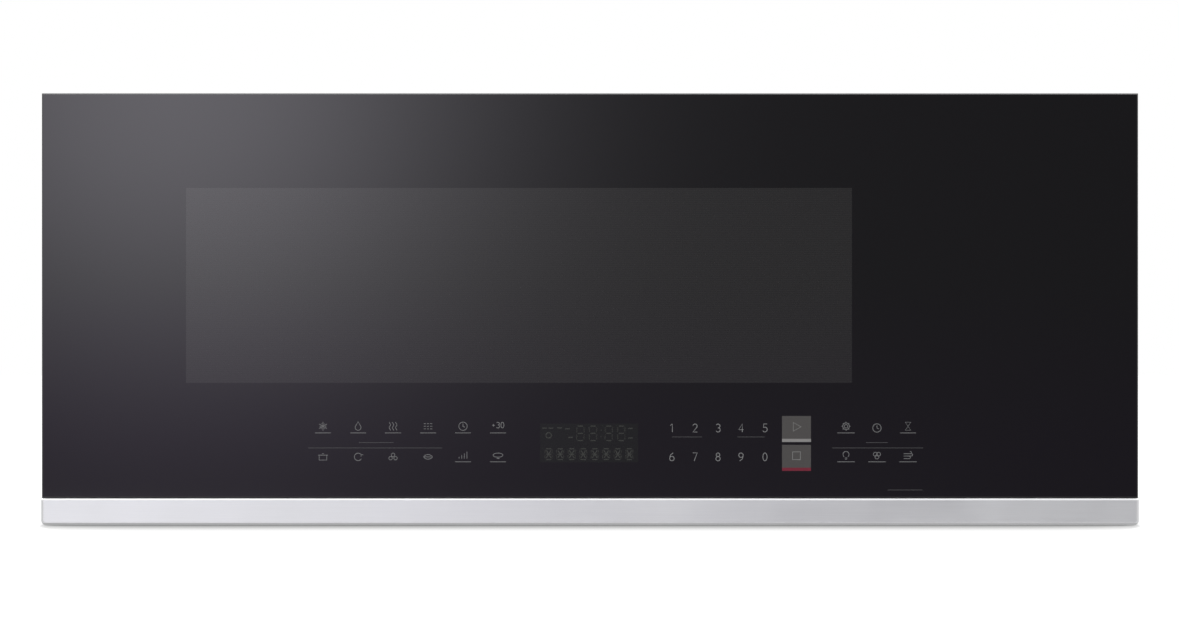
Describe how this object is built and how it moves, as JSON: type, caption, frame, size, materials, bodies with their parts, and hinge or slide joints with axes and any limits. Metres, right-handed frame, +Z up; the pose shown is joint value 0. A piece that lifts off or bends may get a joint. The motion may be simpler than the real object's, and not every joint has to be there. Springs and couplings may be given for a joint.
{
  "type": "over-the-range microwave oven",
  "caption": "Low-profile over-the-range microwave oven with a full-width black glass door, touch keys, a turntable, a vent blower and grease filters.",
  "frame": {"origin": "on the wall plane, at the bottom edge of the back panel, half way across", "axes": "+X right as the user sees the oven, +Z up, the door faces -Y, +Y into the wall"},
  "size_m": [0.7598, 0.461, 0.2993],
  "materials": {
    "black_glass": "polished",
    "stainless": "brushed along its length",
    "door_plastic": "moulded, fine grain",
    "choke_enamel": "satin enamel",
    "clear_pane": "polished",
    "display_black": "gloss",
    "circuit_board": "solder mask",
    "hook_plastic": "natural acetal",
    "spring_steel": "bright",
    "case_paint": "satin powder coat",
    "galvanised": "zinc coated",
    "cavity_enamel": "satin enamel",
    "mica": "matt sheet",
    "tray_glass": "polished",
    "white_plastic": "satin",
    "grille_plastic": "satin",
    "charcoal": "granular",
    "filter_aluminium": "mill finish",
    "lamp_clear": "frosted",
    "lamp_module": "satin",
    "motor_steel": "plain",
    "blower_plastic": "moulded",
    "magnetron_metal": "cast and sheet",
    "screw_steel": "zinc plated",
    "rubber_black": "matt"
  },
  "bodies": {
    "root": {"top_plate": "galvanised", "base_plate": "case_paint", "back_panel": "galvanised", "left_side_panel": "case_paint", "right_side_panel": "case_paint", "front_plate": "cavity_enamel", "exhaust_grille": "grille_plastic", "charcoal_filter": "charcoal", "weld_nuts": "screw_steel", "cord_bushing": "rubber_black", "casing_screws": "screw_steel", "lower_hinge_bracket": "galvanised", "upper_hinge_bracket": "galvanised", "cavity_floor": "cavity_enamel", "cavity_ceiling": "cavity_enamel", "cavity_left_wall": "cavity_enamel", "cavity_right_wall": "cavity_enamel", "cavity_rear_wall": "cavity_enamel", "cavity_lamp": "lamp_clear", "waveguide_cover": "mica", "latch_board": "white_plastic", "interlock_switches": "door_plastic", "turntable_motor": "motor_steel", "cooktop_lamps": "lamp_module", "blower_housing": "galvanised", "blower_motor": "motor_steel", "waveguide": "galvanised", "magnetron": "magnetron_metal", "fan_shroud": "blower_plastic", "fan_motor": "motor_steel", "inverter_board": "circuit_board", "main_board": "circuit_board", "noise_filter": "circuit_board"},
    "plungers": {"switch_plungers": "hook_plastic"},
    "turntable": {"drive_coupler": "white_plastic", "glass_tray": "tray_glass"},
    "roller_ring": {"roller_ring": "white_plastic"},
    "roller_1": {"roller_1": "white_plastic"},
    "roller_2": {"roller_2": "white_plastic"},
    "roller_3": {"roller_3": "white_plastic"},
    "blower_rotor": {"blower_shaft": "motor_steel", "left_blower_wheel": "blower_plastic", "right_blower_wheel": "blower_plastic"},
    "fan": {"fan_blade": "blower_plastic"},
    "door": {"door_glass": "black_glass", "door_trim": "stainless", "door_frame": "door_plastic", "door_screws": "screw_steel", "choke_plate": "choke_enamel", "choke_cover": "door_plastic", "inner_window": "clear_pane", "touch_board": "circuit_board", "display_module": "display_black", "hinge_bushes": "hook_plastic", "latch_spring": "spring_steel"},
    "latch": {"latch_lever": "hook_plastic"},
    "left_filter": {"left_grease_filter": "filter_aluminium"},
    "right_filter": {"right_grease_filter": "filter_aluminium"},
    "left_lamp_cover": {"left_lamp_cover": "lamp_clear"},
    "right_lamp_cover": {"right_lamp_cover": "lamp_clear"}
  },
  "joints": [
    {"name": "door_hinge", "type": "hinge", "parent": "root", "child": "door", "pos_m": [-0.3714, -0.427, 0], "axis": [0, 0, -1], "range_deg": [0, 100]},
    {"name": "latch_lift", "type": "slide", "parent": "door", "child": "latch", "axis": [0, 0, 1], "range_m": [0, 0.005], "stiffness_N_per_m": 300, "springref_m": -0.005, "deforming": ["latch_spring"]},
    {"name": "plunger_slide", "type": "slide", "parent": "root", "child": "plungers", "axis": [0, 1, 0], "range_m": [0, 0.0015], "stiffness_N_per_m": 400, "springref_m": -0.001},
    {"name": "turntable_spin", "type": "hinge", "parent": "root", "child": "turntable", "pos_m": [-0.049, -0.251, 0.048], "axis": [0, 0, 1], "continuous": true},
    {"name": "roller_ring_spin", "type": "hinge", "parent": "root", "child": "roller_ring", "pos_m": [-0.049, -0.251, 0.0568], "axis": [0, 0, 1], "continuous": true},
    {"name": "roller_1_spin", "type": "hinge", "parent": "roller_ring", "child": "roller_1", "pos_m": [-0.049, -0.145, 0.0568], "axis": [0, -1, 0], "continuous": true},
    {"name": "roller_2_spin", "type": "hinge", "parent": "roller_ring", "child": "roller_2", "pos_m": [-0.1408, -0.304, 0.0568], "axis": [0.866, 0.5, 0], "continuous": true},
    {"name": "roller_3_spin", "type": "hinge", "parent": "roller_ring", "child": "roller_3", "pos_m": [0.0428, -0.304, 0.0568], "axis": [-0.866, 0.5, 0], "continuous": true},
    {"name": "blower_spin", "type": "hinge", "parent": "root", "child": "blower_rotor", "pos_m": [0, -0.046, 0.15], "axis": [1, 0, 0], "continuous": true},
    {"name": "fan_spin", "type": "hinge", "parent": "root", "child": "fan", "pos_m": [0.3065, -0.172, 0.18], "axis": [0, 1, 0], "continuous": true},
    {"name": "left_filter_tilt", "type": "hinge", "parent": "root", "child": "left_filter", "pos_m": [-0.225, -0.059, 0.001], "axis": [1, 0, 0], "range_deg": [0, 30]},
    {"name": "left_lamp_hinge", "type": "hinge", "parent": "root", "child": "left_lamp_cover", "pos_m": [-0.21, -0.334, 0.003], "axis": [1, 0, 0], "range_deg": [0, 85]},
    {"name": "right_filter_tilt", "type": "hinge", "parent": "root", "child": "right_filter", "pos_m": [0.127, -0.059, 0.001], "axis": [1, 0, 0], "range_deg": [0, 30]},
    {"name": "right_lamp_hinge", "type": "hinge", "parent": "root", "child": "right_lamp_cover", "pos_m": [0.21, -0.334, 0.003], "axis": [1, 0, 0], "range_deg": [0, 85]}
  ],
  "couplings": [
    {"joint": "roller_ring_spin", "follows": "turntable_spin", "ratio": 0.5},
    {"joint": "roller_1_spin", "follows": "turntable_spin", "ratio": 6.2353},
    {"joint": "roller_2_spin", "follows": "turntable_spin", "ratio": 6.2353},
    {"joint": "roller_3_spin", "follows": "turntable_spin", "ratio": 6.2353}
  ]
}
